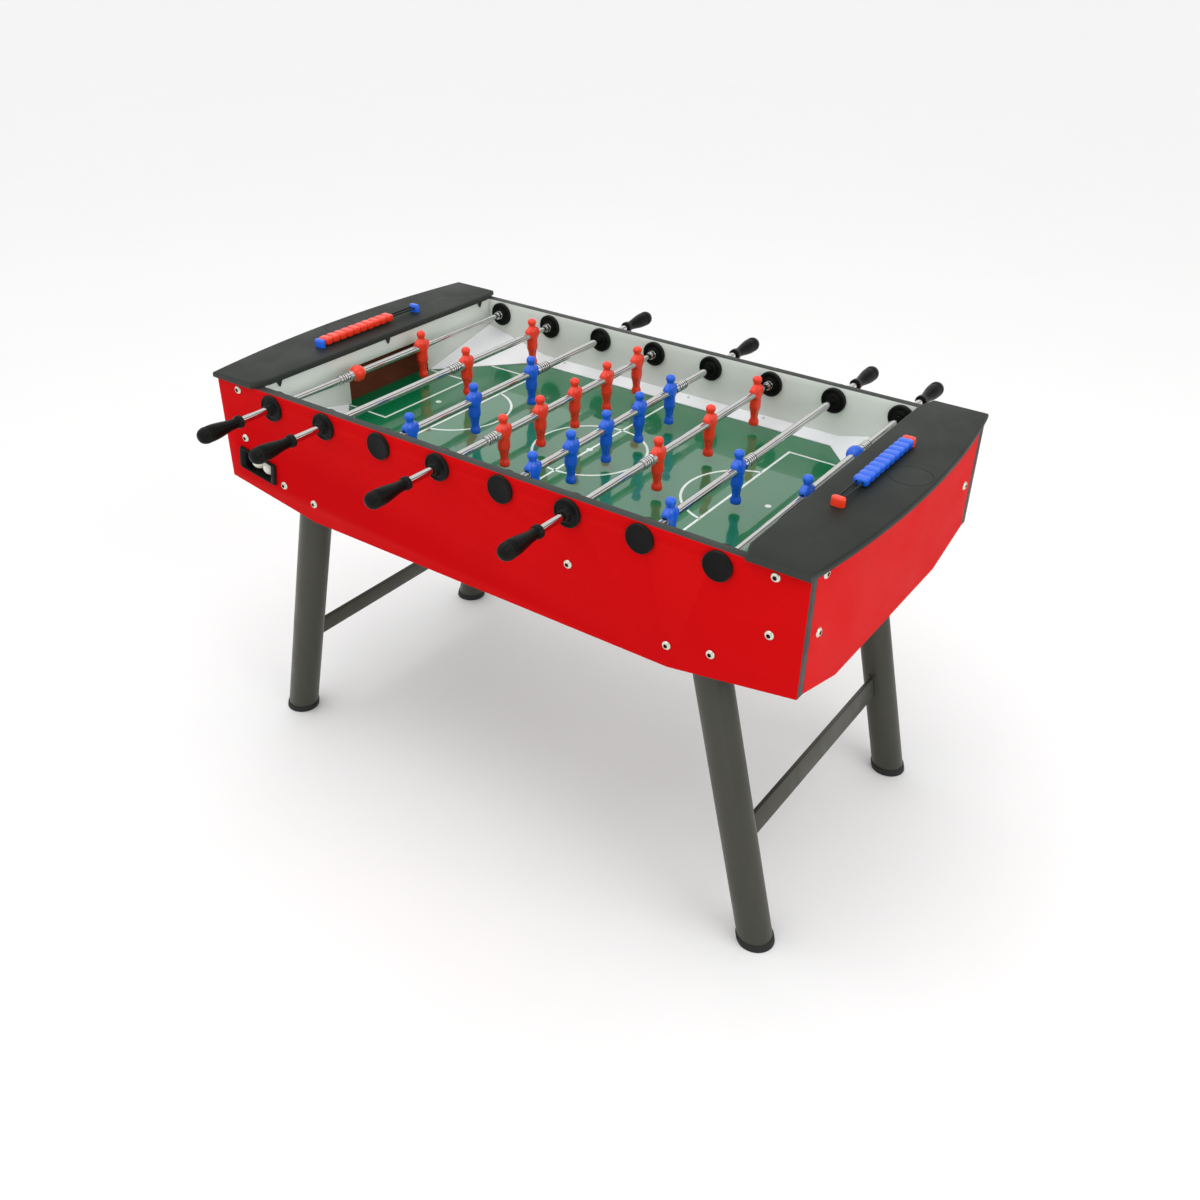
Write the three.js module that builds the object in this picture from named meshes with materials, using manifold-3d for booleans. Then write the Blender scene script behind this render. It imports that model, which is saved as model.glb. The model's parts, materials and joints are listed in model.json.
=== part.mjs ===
// Foosball table: cabinet on four splayed legs, eight telescopic player rods, sliding score beads.
// Units are millimetres, +X along the table, +Y to the back, +Z up, origin on the floor at the centre.
import * as THREE from 'three';
import { mergeVertices } from 'three/addons/utils/BufferGeometryUtils.js';
import Module from 'manifold-3d';

const wasm = await Module();
wasm.setup();

// ---- driving dimensions ----
const GAP = 0.3;

const cabinet = {
  halfLength: 688,
  halfWidth: 378,
  panel: 20,
  top: 872.5,
  bottom: 605.5,
  cornerBottom: 644.5,
  slantX: 440,
  slantY: 223,
};
const innerHalfWidth = cabinet.halfWidth - cabinet.panel;

const field = { top: 756.5, thick: 23.5, halfLength: 582 };
const goal = { wallInner: 566, wallThick: 16, halfWidth: 126, top: 838, corner: 15 };
const ramp = { stripY: 320, stripRise: 9.5, vertexX: 395, goalY: 134, cornerRise: 51.5 };

const rodPitch = 150;
const axisZ = 842.5;
const facets = { tube: 12, small: 10, leg: 16 };
const tube = { radius: 8, bore: 6.6, handleEnd: -485 };
const innerRod = { radius: 6, freeEnd: -330, heldEnd: 376, nutRadius: 10, nutStart: 337 };
const bearing = { flange: 27.5, flangeThick: 7.5, barrel: 15, hub: 12, hubLength: 10 };
const bearingInner = innerHalfWidth - GAP - bearing.flangeThick;
const bearingOuter = cabinet.halfWidth + GAP + bearing.flangeThick;

const figure = { halfShoulder: 20, halfHub: 16, head: 38.5, sole: 72.5 };
const stopBall = { radius: 18, y: -138 };
const bumper = { radius: 11, length: 41 };
const handle = {
  start: -459,
  end: -562,
  collar: 13,
  collarLength: 12,
  neck: 10.5,
  neckLength: 24,
  grip: 16.5,
  domeLength: 26,
};
const running = 0.6;

// Men on a rod: spacing between them and where the row's centre rests, measured away from the handle.
const lineups = {
  1: { spacing: 0, centre: 67 },
  2: { spacing: 237, centre: 168 },
  3: { spacing: 192, centre: 100 },
  5: { spacing: 118, centre: 49 },
};
const rods = [
  { team: 'red', men: 1 },
  { team: 'red', men: 2 },
  { team: 'blue', men: 3 },
  { team: 'red', men: 5 },
  { team: 'blue', men: 5 },
  { team: 'red', men: 3 },
  { team: 'blue', men: 2 },
  { team: 'blue', men: 1 },
];

const leg = { footX: 643, y: 321, lean: 0.2442, radius: 35, wall: 2, top: 725 };
const foot = { radius: 37.5, height: 16 };
const legPlate = { centreX: 480, halfWidth: 60, low: 632, high: 688, thick: 3 };
const brace = { z: 233, height: 46, width: 10, wall: 1.5 };

const endCap = { inner: 562, end: 690, bulge: 722, halfWidth: 387, top: 885, chamferX: 13, chamferY: 40 };
const tab = { spacing: 320, width: 14, drop: 12, thick: 3.5 };
const score = { x: 620, halfLength: 150, rodRadius: 2, rodSpacing: 12, z: 895, holder: [26, 14, 18] };
const beads = { count: 10, length: 21.4, width: 28, waist: 20, height: 15, groove: 4 };

const outlet = { x: -597, z: 693, width: 108, height: 50, rim: 6.5, depth: 60 };
const outletWindow = { width: 76, height: 37 };
const outletBarrel = { width: 90, height: 44 };

// ---- solid helpers ----
const cyclic = new THREE.Matrix4().makeBasis(
  new THREE.Vector3(0, 1, 0),
  new THREE.Vector3(0, 0, 1),
  new THREE.Vector3(1, 0, 0),
);

function signedVolume(positions, triangles) {
  const corner = (i) => new THREE.Vector3().fromArray(positions, 3 * triangles[i]);
  let volume = 0;
  for (let i = 0; i < triangles.length; i += 3) {
    volume += corner(i).dot(corner(i + 1).cross(corner(i + 2))) / 6;
  }
  return volume;
}

function solid(geometry) {
  const bare = geometry.clone();
  bare.deleteAttribute('normal');
  bare.deleteAttribute('uv');
  const merged = mergeVertices(bare, 1e-4);
  const positions = Float32Array.from(merged.attributes.position.array);
  const triangles = [];
  for (let i = 0; i < merged.index.count; i += 3) {
    const [a, b, c] = [0, 1, 2].map((k) => merged.index.getX(i + k));
    if (a !== b && b !== c && c !== a) triangles.push(a, b, c);
  }
  if (signedVolume(positions, triangles) < 0) triangles.reverse();
  return new wasm.Manifold(
    new wasm.Mesh({ numProp: 3, vertProperties: positions, triVerts: Uint32Array.from(triangles) }),
  );
}

function geometryOf(body) {
  const { vertProperties, triVerts } = body.getMesh();
  const geometry = new THREE.BufferGeometry();
  geometry.setAttribute('position', new THREE.Float32BufferAttribute(vertProperties, 3));
  geometry.setIndex(Array.from(triVerts));
  return geometry;
}

function join(...bodies) {
  return bodies.reduce((sum, body) => sum.add(body));
}

function cut(body, ...tools) {
  return tools.reduce((rest, tool) => rest.subtract(tool), body);
}

function outline(points) {
  return new THREE.Shape(points.map(([a, b]) => new THREE.Vector2(a, b)));
}

function extrude(shape, depth) {
  return new THREE.ExtrudeGeometry(shape, { depth, bevelEnabled: false, curveSegments: 4 });
}

function plateXY(shape, z0, z1) {
  return solid(extrude(shape, z1 - z0).translate(0, 0, z0));
}

function plateXZ(shape, y0, y1) {
  return solid(extrude(shape, y1 - y0).rotateX(Math.PI / 2).translate(0, y1, 0));
}

function plateYZ(shape, x0, x1) {
  return solid(extrude(shape, x1 - x0).applyMatrix4(cyclic).translate(x0, 0, 0));
}

function box(x0, x1, y0, y1, z0, z1) {
  const geometry = new THREE.BoxGeometry(x1 - x0, y1 - y0, z1 - z0);
  return solid(geometry.translate((x0 + x1) / 2, (y0 + y1) / 2, (z0 + z1) / 2));
}

// A body turned about the rod axis; the profile is a list of [radius, y].
function turned(profile, segments) {
  const points = profile.map(([radius, y]) => new THREE.Vector2(radius, y));
  return solid(new THREE.LatheGeometry(points, segments).translate(0, 0, axisZ));
}

function rodCylinder(radius, y0, y1, segments) {
  return turned([[0, y0], [radius, y0], [radius, y1], [0, y1]], segments);
}

// A convex prism with a flat base and one height per corner; corners are [x, y, top] in order.
function slopedPrism(corners, base) {
  const positions = [];
  for (const [x, y, top] of corners) positions.push(x, y, base, x, y, top);
  const count = corners.length;
  const index = [];
  for (let i = 0; i < count; i += 1) {
    const next = (i + 1) % count;
    index.push(2 * i, 2 * next, 2 * next + 1, 2 * i, 2 * next + 1, 2 * i + 1);
  }
  for (let i = 1; i < count - 1; i += 1) {
    index.push(0, 2 * (i + 1), 2 * i, 1, 2 * i + 1, 2 * (i + 1) + 1);
  }
  const geometry = new THREE.BufferGeometry();
  geometry.setAttribute('position', new THREE.Float32BufferAttribute(positions, 3));
  geometry.setIndex(index);
  return solid(geometry);
}

// Stacked octagons stretched towards a square; sections are [z, halfX, halfY].
function loft(sections) {
  const ring = 8;
  const squareness = 1.12;
  const positions = [];
  for (const [z, halfX, halfY] of sections) {
    for (let i = 0; i < ring; i += 1) {
      const angle = ((i + 0.5) * 2 * Math.PI) / ring;
      const x = Math.max(-1, Math.min(1, squareness * Math.cos(angle)));
      const y = Math.max(-1, Math.min(1, squareness * Math.sin(angle)));
      positions.push(halfX * x, halfY * y, z);
    }
  }
  const index = [];
  for (let s = 0; s < sections.length - 1; s += 1) {
    for (let i = 0; i < ring; i += 1) {
      const a = s * ring + i;
      const b = s * ring + ((i + 1) % ring);
      index.push(a, b, b + ring, a, b + ring, a + ring);
    }
  }
  const last = (sections.length - 1) * ring;
  for (let i = 1; i < ring - 1; i += 1) {
    index.push(0, i + 1, i, last, last + i, last + i + 1);
  }
  const geometry = new THREE.BufferGeometry();
  geometry.setAttribute('position', new THREE.Float32BufferAttribute(positions, 3));
  geometry.setIndex(index);
  return geometry;
}

// ---- scene assembly ----
const colours = {
  red_panel: [0xc20d12, 0.35, 0],
  wall_white: [0xc8ccc8, 0.5, 0],
  field_green: [0x2f6b4a, 0.2, 0],
  ramp_white: [0xe4e8ea, 0.4, 0],
  black_plastic: [0x1d1f1e, 0.5, 0],
  cap_plastic: [0x3a3d3a, 0.6, 0],
  chrome: [0xb8bbb8, 0.2, 0.9],
  red_plastic: [0xe6321c, 0.35, 0],
  blue_plastic: [0x1c55c8, 0.35, 0],
  leg_paint: [0x4c4c42, 0.45, 0.3],
};
const materials = {};
for (const [slot, [color, roughness, metalness]] of Object.entries(colours)) {
  materials[slot] = { color, roughness, metalness };
}

const group = new THREE.Group();
group.name = 'foosball_table';

function place(name, slot, body, { x = 0, halfTurn = false } = {}) {
  const geometry = geometryOf(body);
  if (halfTurn) geometry.rotateZ(Math.PI);
  geometry.translate(x, 0, 0);
  geometry.computeVertexNormals();
  const mesh = new THREE.Mesh(geometry, new THREE.MeshStandardMaterial(materials[slot]));
  mesh.name = name;
  group.add(mesh);
}

// ---- cabinet ----
function sidePanel() {
  const { halfLength, halfWidth, top, bottom, cornerBottom, slantX } = cabinet;
  const plate = plateXZ(
    outline([
      [-halfLength, top],
      [-halfLength, cornerBottom],
      [-slantX, bottom],
      [slantX, bottom],
      [halfLength, cornerBottom],
      [halfLength, top],
    ]),
    -halfWidth,
    -innerHalfWidth,
  );
  const holeRadius = bearing.barrel + running;
  const holes = rods.map((rod, i) => {
    const hole = new THREE.CylinderGeometry(holeRadius, holeRadius, 2 * cabinet.panel, 12);
    return solid(hole.translate(rodX(i), -halfWidth, axisZ));
  });
  return cut(plate, ...holes);
}

function rodX(i) {
  return (i - (rods.length - 1) / 2) * rodPitch;
}

function endPanel() {
  const { halfLength, panel, top, bottom, cornerBottom, slantY } = cabinet;
  const edge = innerHalfWidth - GAP;
  return plateYZ(
    outline([
      [-edge, top],
      [-edge, cornerBottom],
      [-slantY, bottom],
      [slantY, bottom],
      [edge, cornerBottom],
      [edge, top],
    ]),
    halfLength - panel,
    halfLength,
  );
}

function goalWall() {
  const edge = innerHalfWidth - GAP;
  const base = field.top + GAP;
  const { wallInner, wallThick, halfWidth, top, corner } = goal;
  const shape = new THREE.Shape();
  shape.moveTo(-edge, base);
  shape.lineTo(-halfWidth, base);
  shape.lineTo(-halfWidth, top - corner);
  shape.absarc(-halfWidth + corner, top - corner, corner, Math.PI, Math.PI / 2, true);
  shape.lineTo(halfWidth - corner, top);
  shape.absarc(halfWidth - corner, top - corner, corner, Math.PI / 2, 0, true);
  shape.lineTo(halfWidth, base);
  shape.lineTo(edge, base);
  shape.lineTo(edge, cabinet.top);
  shape.lineTo(-edge, cabinet.top);
  return plateYZ(shape, wallInner, wallInner + wallThick);
}

function playfield() {
  const edge = innerHalfWidth - GAP;
  return box(-field.halfLength, field.halfLength, -edge, edge, field.top - field.thick, field.top);
}

// White strip along the back side wall with a raised triangular ramp in each corner.
function sideRamp() {
  const base = field.top + GAP;
  const wallY = innerHalfWidth - GAP;
  const wallX = goal.wallInner - GAP;
  const lip = base + 1.5;
  const strip = plateYZ(
    outline([
      [ramp.stripY, base],
      [wallY, base],
      [wallY, base + ramp.stripRise],
      [ramp.stripY, lip],
    ]),
    -wallX,
    wallX,
  );
  const corners = [-1, 1].map((side) => {
    const points = [
      [side * ramp.vertexX, ramp.stripY, lip],
      [side * wallX, ramp.goalY, lip],
      [side * wallX, wallY, base + ramp.cornerRise],
      [side * ramp.vertexX, wallY, base + ramp.stripRise],
    ];
    return slopedPrism(side > 0 ? points : points.reverse(), base);
  });
  return join(strip, ...corners);
}

function ballOutlet() {
  const rect = (w, h, y0, y1) => box(-w / 2, w / 2, y0, y1, -h / 2, h / 2);
  const face = -cabinet.halfWidth - GAP;
  const back = face + outlet.depth;
  const rim = rect(outlet.width, outlet.height, face - outlet.rim, face);
  const barrel = rect(outletBarrel.width, outletBarrel.height, face - 1, back);
  const room = rect(outletWindow.width, outletWindow.height, face - 2 * outlet.rim, back - 3);
  return cut(join(rim, barrel), room);
}

function outletHole() {
  const grow = 2 * GAP;
  const w = (outletBarrel.width + grow) / 2;
  const h = (outletBarrel.height + grow) / 2;
  return box(-w, w, -2 * cabinet.halfWidth, 0, -h, h);
}

// The outlet is level with the slanted bottom edge of the panel.
function tiltToEdge(body) {
  const rise = cabinet.cornerBottom - cabinet.bottom;
  const tilt = Math.atan2(rise, cabinet.halfLength - cabinet.slantX);
  return solid(geometryOf(body).rotateY(tilt).translate(outlet.x, 0, outlet.z));
}

function addCabinet() {
  place('side_panel_front', 'red_panel', cut(sidePanel(), tiltToEdge(outletHole())));
  place('side_panel_back', 'red_panel', sidePanel(), { halfTurn: true });
  place('end_panel_left', 'red_panel', endPanel(), { halfTurn: true });
  place('end_panel_right', 'red_panel', endPanel());
  place('goal_wall_left', 'wall_white', goalWall(), { halfTurn: true });
  place('goal_wall_right', 'wall_white', goalWall());
  place('playfield', 'field_green', playfield());
  place('side_ramp_front', 'ramp_white', sideRamp(), { halfTurn: true });
  place('side_ramp_back', 'ramp_white', sideRamp());
  place('ball_outlet', 'black_plastic', tiltToEdge(ballOutlet()));
}

// ---- legs ----
// An upright cylinder leaned along X so that both cut ends stay level.
function leaned(radius, z0, z1) {
  const upright = new THREE.CylinderGeometry(radius, radius, z1 - z0, facets.leg).rotateX(Math.PI / 2);
  upright.scale(Math.sqrt(1 + leg.lean ** 2), 1, 1).translate(0, 0, (z0 + z1) / 2);
  const shear = new THREE.Matrix4().set(1, 0, -leg.lean, leg.footX, 0, 1, 0, leg.y, 0, 0, 1, 0, 0, 0, 0, 1);
  return solid(upright.applyMatrix4(shear));
}

function cornerLeg() {
  const plateOuter = innerHalfWidth - GAP;
  const { centreX, halfWidth, low, high, thick } = legPlate;
  const plate = box(centreX - halfWidth, centreX + halfWidth, plateOuter - thick, plateOuter, low, high);
  const shaft = leaned(leg.radius, 0, leg.top);
  const footCap = leaned(foot.radius, 0, foot.height);
  const hollow = leaned(leg.radius - leg.wall, foot.height + leg.wall, leg.top + 1);
  return cut(join(shaft, footCap, plate), hollow);
}

function mirroredY(body) {
  return solid(geometryOf(body).scale(1, -1, 1));
}

function crossBrace() {
  const reach = leg.y - leg.radius - GAP;
  const x = leg.footX - leg.lean * brace.z;
  const section = (inset, length) => {
    const geometry = new THREE.BoxGeometry(brace.width - 2 * inset, length, brace.height - 2 * inset);
    return solid(geometry.rotateY(-Math.atan(leg.lean)).translate(x, 0, brace.z));
  };
  return cut(section(0, 2 * reach), section(brace.wall, 2 * reach + 2));
}

function addLegs() {
  place('leg_back_right', 'leg_paint', cornerLeg());
  place('leg_front_right', 'leg_paint', mirroredY(cornerLeg()));
  place('leg_front_left', 'leg_paint', cornerLeg(), { halfTurn: true });
  place('leg_back_left', 'leg_paint', mirroredY(cornerLeg()), { halfTurn: true });
  place('cross_brace_right', 'leg_paint', crossBrace());
  place('cross_brace_left', 'leg_paint', crossBrace(), { halfTurn: true });
}

// ---- end caps and score beads ----
function capShape() {
  const { inner, end, bulge, halfWidth, chamferX, chamferY } = endCap;
  const sagitta = bulge - end;
  const radius = (halfWidth ** 2 + sagitta ** 2) / (2 * sagitta);
  const half = Math.asin(halfWidth / radius);
  const shape = new THREE.Shape();
  shape.moveTo(inner, halfWidth - chamferY);
  shape.lineTo(inner, chamferY - halfWidth);
  shape.lineTo(inner + chamferX, -halfWidth);
  shape.lineTo(end, -halfWidth);
  shape.absarc(bulge - radius, 0, radius, -half, half, false);
  shape.lineTo(inner + chamferX, halfWidth);
  return shape;
}

function capTabs(base) {
  return [-1, 0, 1].map((step) => {
    const y = step * tab.spacing;
    const points = [
      [y - tab.width / 2, base + 1],
      [y, base - tab.drop],
      [y + tab.width / 2, base + 1],
    ];
    return plateYZ(outline(points), endCap.inner, endCap.inner + tab.thick);
  });
}

function scoreRail() {
  const [width, length, height] = score.holder;
  const rails = [-1, 1].map((side) => {
    const x = score.x + (side * score.rodSpacing) / 2;
    const rail = new THREE.CylinderGeometry(score.rodRadius, score.rodRadius, 2 * score.halfLength, 8);
    return solid(rail.translate(x, 0, score.z));
  });
  const holders = [-1, 1].map((side) => {
    const y = side * score.halfLength;
    const low = endCap.top - 1;
    return box(score.x - width / 2, score.x + width / 2, y - length / 2, y + length / 2, low, low + height);
  });
  return [...holders, ...rails];
}

function capWithRail() {
  const base = cabinet.top + GAP;
  return join(plateXY(capShape(), base, endCap.top), ...capTabs(base), ...scoreRail());
}

// A row of beads pushed against the front holder, scalloped between beads.
function beadRow() {
  const start = -score.halfLength + score.holder[1] / 2 + GAP;
  const right = [];
  for (let i = 0; i < beads.count; i += 1) {
    const y = start + i * beads.length;
    right.push([beads.width / 2, y], [beads.width / 2, y + beads.length - beads.groove]);
    if (i < beads.count - 1) {
      right.push([beads.waist / 2, y + beads.length - beads.groove / 2]);
    }
  }
  const left = right.map(([x, y]) => [-x, y]).reverse();
  const shape = outline([...right, ...left].map(([x, y]) => [score.x + x, y]));
  const low = score.z - beads.height / 2;
  const holes = [-1, 1].map((side) => {
    const x = score.x + (side * score.rodSpacing) / 2;
    const radius = score.rodRadius + running;
    const hole = new THREE.CylinderGeometry(radius, radius, 4 * score.halfLength, 8);
    return solid(hole.translate(x, 0, score.z));
  });
  return cut(plateXY(shape, low, low + beads.height), ...holes);
}

function addCaps() {
  place('end_cap_left', 'cap_plastic', capWithRail(), { halfTurn: true });
  place('end_cap_right', 'cap_plastic', capWithRail());
  place('score_beads_left', 'red_plastic', mirroredY(beadRow()), { halfTurn: true });
  place('score_beads_right', 'blue_plastic', mirroredY(beadRow()));
}

// ---- rods, built with the handle at the front and turned round for the other team ----
// Heights are from the rod axis: square foot, legs, shorts, elbows level with the rod, round head.
function footballer(y) {
  const { head, sole, halfShoulder } = figure;
  const sections = [
    [-sole, 10.5, 9.5],
    [-sole + 11, 10.5, 9.8],
    [-sole + 18, 7.2, 8.2],
    [-40, 8.6, 10],
    [-32, 10.4, 13.2],
    [-14, 9.6, 12.8],
    [-6, 10, 16],
    [3, 10.4, halfShoulder],
    [13, 9.6, halfShoulder - 3],
    [18, 6.4, 9],
    [head - 16, 6.6, 6.8],
    [head - 9, 9.8, 9.6],
    [head, 3.5, 3.5],
  ];
  return solid(loft(sections).translate(0, y, axisZ));
}

function menPositions(men) {
  const { spacing, centre } = lineups[men];
  return Array.from({ length: men }, (unused, i) => centre + (i - (men - 1) / 2) * spacing);
}

function playerRod(men) {
  const places = menPositions(men);
  const farEnd = places[men - 1] + figure.halfHub + 2;
  const pieces = [rodCylinder(tube.radius, tube.handleEnd, farEnd, facets.tube), ...places.map(footballer)];
  let stop = places[0] - figure.halfHub;
  if (men === 1) {
    const ball = new THREE.SphereGeometry(stopBall.radius, 12, 8);
    pieces.push(solid(ball.translate(0, stopBall.y, axisZ)));
    stop = stopBall.y - stopBall.radius + 3;
  }
  pieces.push(rodCylinder(bumper.radius, stop - bumper.length, stop + 1, facets.small));
  const bore = rodCylinder(tube.bore, tube.handleEnd - 5, farEnd + 5, facets.tube);
  return cut(join(...pieces), bore);
}

function telescopicCore() {
  const { radius, freeEnd, heldEnd, nutRadius, nutStart } = innerRod;
  const nutEnd = bearingInner - GAP;
  const profile = [
    [0, freeEnd],
    [radius, freeEnd],
    [radius, nutStart],
    [nutRadius, nutStart],
    [nutRadius, nutEnd],
    [radius, nutEnd],
    [radius, heldEnd],
    [0, heldEnd],
  ];
  return turned(profile, facets.small);
}

function handleBearing() {
  const { flange, barrel, hub, hubLength } = bearing;
  const bore = tube.radius + running;
  const profile = [
    [bore, -bearingOuter - hubLength],
    [hub, -bearingOuter - hubLength],
    [barrel, -bearingOuter],
    [flange, -bearingOuter],
    [flange, -cabinet.halfWidth - GAP],
    [barrel, -cabinet.halfWidth - GAP],
    [barrel, -innerHalfWidth + GAP],
    [flange, -innerHalfWidth + GAP],
    [flange, -bearingInner],
    [bore, -bearingInner],
    [bore, -bearingOuter - hubLength],
  ];
  return turned(profile, facets.small);
}

function cappedBearing() {
  const { flange, barrel } = bearing;
  const bore = innerRod.radius + running;
  const profile = [
    [0, innerRod.heldEnd + 1],
    [bore, innerRod.heldEnd + 1],
    [bore, bearingInner],
    [flange, bearingInner],
    [flange, innerHalfWidth - GAP],
    [barrel, innerHalfWidth - GAP],
    [barrel, cabinet.halfWidth + GAP],
    [flange, cabinet.halfWidth + GAP],
    [flange, bearingOuter],
    [0, bearingOuter],
  ];
  return turned(profile, facets.small);
}

function grip() {
  const bore = tube.radius + running;
  const { start, end, collar, neck } = handle;
  const neckStart = start - handle.collarLength;
  const profile = [
    [0, tube.handleEnd - 1],
    [bore, tube.handleEnd - 1],
    [bore, start],
    [collar, start],
    [collar, neckStart],
    [neck, neckStart - 4],
    [neck + 1, neckStart - handle.neckLength],
    [handle.grip, end + handle.domeLength],
    [handle.grip - 2, end + handle.domeLength / 4],
    [0, end],
  ];
  return turned(profile, facets.small);
}

function addRods() {
  rods.forEach(({ team, men }, i) => {
    const spot = { x: rodX(i), halfTurn: team === 'blue' };
    const name = `rod_${i + 1}`;
    place(`${name}_inner_rod`, 'chrome', telescopicCore(), spot);
    place(`${name}_players_${team}`, `${team}_plastic`, playerRod(men), spot);
    place(`${name}_handle`, 'black_plastic', grip(), spot);
    place(`${name}_handle_bearing`, 'black_plastic', handleBearing(), spot);
    place(`${name}_capped_bearing`, 'black_plastic', cappedBearing(), spot);
  });
}

addCabinet();
addLegs();
addCaps();
addRods();

export default group;
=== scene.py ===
"""Looks of the foosball table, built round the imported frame. Every length is in metres."""

import json
import math

import bmesh
import bpy
from mathutils import Matrix, Quaternion, Vector


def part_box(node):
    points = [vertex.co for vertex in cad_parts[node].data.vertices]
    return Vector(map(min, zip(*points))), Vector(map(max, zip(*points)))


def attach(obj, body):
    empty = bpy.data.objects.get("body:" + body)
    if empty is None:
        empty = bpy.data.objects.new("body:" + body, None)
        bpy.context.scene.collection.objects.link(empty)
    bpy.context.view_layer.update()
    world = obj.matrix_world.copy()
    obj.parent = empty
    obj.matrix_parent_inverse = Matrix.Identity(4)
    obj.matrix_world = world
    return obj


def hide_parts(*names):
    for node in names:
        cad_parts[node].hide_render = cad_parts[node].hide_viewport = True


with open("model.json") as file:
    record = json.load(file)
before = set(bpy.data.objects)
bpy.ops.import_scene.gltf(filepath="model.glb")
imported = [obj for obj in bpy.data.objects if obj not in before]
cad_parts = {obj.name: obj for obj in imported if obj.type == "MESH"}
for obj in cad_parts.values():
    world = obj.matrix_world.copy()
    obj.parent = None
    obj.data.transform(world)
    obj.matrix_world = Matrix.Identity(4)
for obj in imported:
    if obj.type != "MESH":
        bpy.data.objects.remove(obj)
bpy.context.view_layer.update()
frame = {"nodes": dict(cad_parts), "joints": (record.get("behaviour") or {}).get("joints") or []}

MM = 0.001

# ---- places and sizes taken from the frame ----
FRONT_LOW, FRONT_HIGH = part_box("side_panel_front")
HALF_LENGTH = FRONT_HIGH.x
OUTER_Y = -FRONT_LOW.y
INNER_Y = -FRONT_HIGH.y
TOP = FRONT_HIGH.z
BOTTOM = FRONT_LOW.z
END_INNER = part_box("end_panel_right")[0].x
FIELD_LOW, FIELD_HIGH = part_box("playfield")
FIELD_TOP = FIELD_HIGH.z
WALL_LOW, WALL_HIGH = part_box("goal_wall_right")
CAP_LOW, CAP_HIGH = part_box("end_cap_right")
BEADS_LOW, BEADS_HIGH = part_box("score_beads_right")
OUTLET_LOW, OUTLET_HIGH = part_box("ball_outlet")
LEG_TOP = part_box("leg_back_right")[1].z
BRACE_LOW, BRACE_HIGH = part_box("cross_brace_right")
JOINTS = {joint["name"]: joint for joint in frame["joints"]}
ROD_Z = JOINTS["rod_1_spin"]["pos_m"][2]

# ---- sizes the frame's boxes don't give ----
CORNER_BOTTOM = 644.5 * MM
SLANT_X = 440 * MM
SLANT_Y = 223 * MM
BOARD_EDGE = 0.8 * MM
GOAL_HALF = 126 * MM
GOAL_TOP = 838 * MM
GOAL_CORNER = 15 * MM
LEAN = 0.2442
LEG_RADIUS = 35 * MM
FOOT_HEIGHT = 16 * MM
FOOT = Vector((0.643, 0.321, 0))
TUBE_RADIUS = 8 * MM
TUBE_BORE = 6.6 * MM
INNER_RADIUS = 6 * MM
FLANGE_RADIUS = 27.5 * MM
HOLE_RADIUS = 15.3 * MM
BARREL_HALF_WIDTH = 45 * MM
BARREL_HALF_HEIGHT = 22 * MM
SHOE_RADIUS = 37.5 * MM
LINE_WIDTH = 5.4 * MM
STRIP_Y = 320 * MM
STRIP_RISE = 9.5 * MM
CAP_TOP = 885 * MM
CLEARANCE = 0.3 * MM

# Men on a rod: spacing, and the row's centre measured away from the handle.
LINEUPS = {1: (0, 0.067), 2: (0.237, 0.168), 3: (0.192, 0.100), 5: (0.118, 0.049)}
MEN = (1, 2, 3, 5, 5, 3, 2, 1)
RODS = range(1, len(MEN) + 1)
TEAMS = ["red" if f"rod_{k}_players_red" in frame["nodes"] else "blue" for k in RODS]
HALF_TURN = Matrix.Rotation(math.pi, 4, "Z")


# ---- materials ----
def srgb(red, green, blue):
    """Linear colour from 0-255 display values."""
    def linear(value):
        value /= 255
        return value / 12.92 if value < 0.04045 else ((value + 0.055) / 1.055) ** 2.4
    return (linear(red), linear(green), linear(blue), 1)


def shade(colour, factor):
    """The same colour, lighter or darker."""
    return tuple(min(1, channel * factor) for channel in colour[:3]) + (1,)


def add_node(tree, kind, **settings):
    node = tree.nodes.new(kind)
    for key, value in settings.items():
        setattr(node, key, value)
    return node


def map_range(tree, source, span):
    """Maps source from the first two values of span to the last two."""
    node = add_node(tree, "ShaderNodeMapRange")
    for socket, value in zip(("From Min", "From Max", "To Min", "To Max"), span):
        node.inputs[socket].default_value = value
    tree.links.new(source, node.inputs["Value"])
    return node.outputs["Result"]


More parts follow.
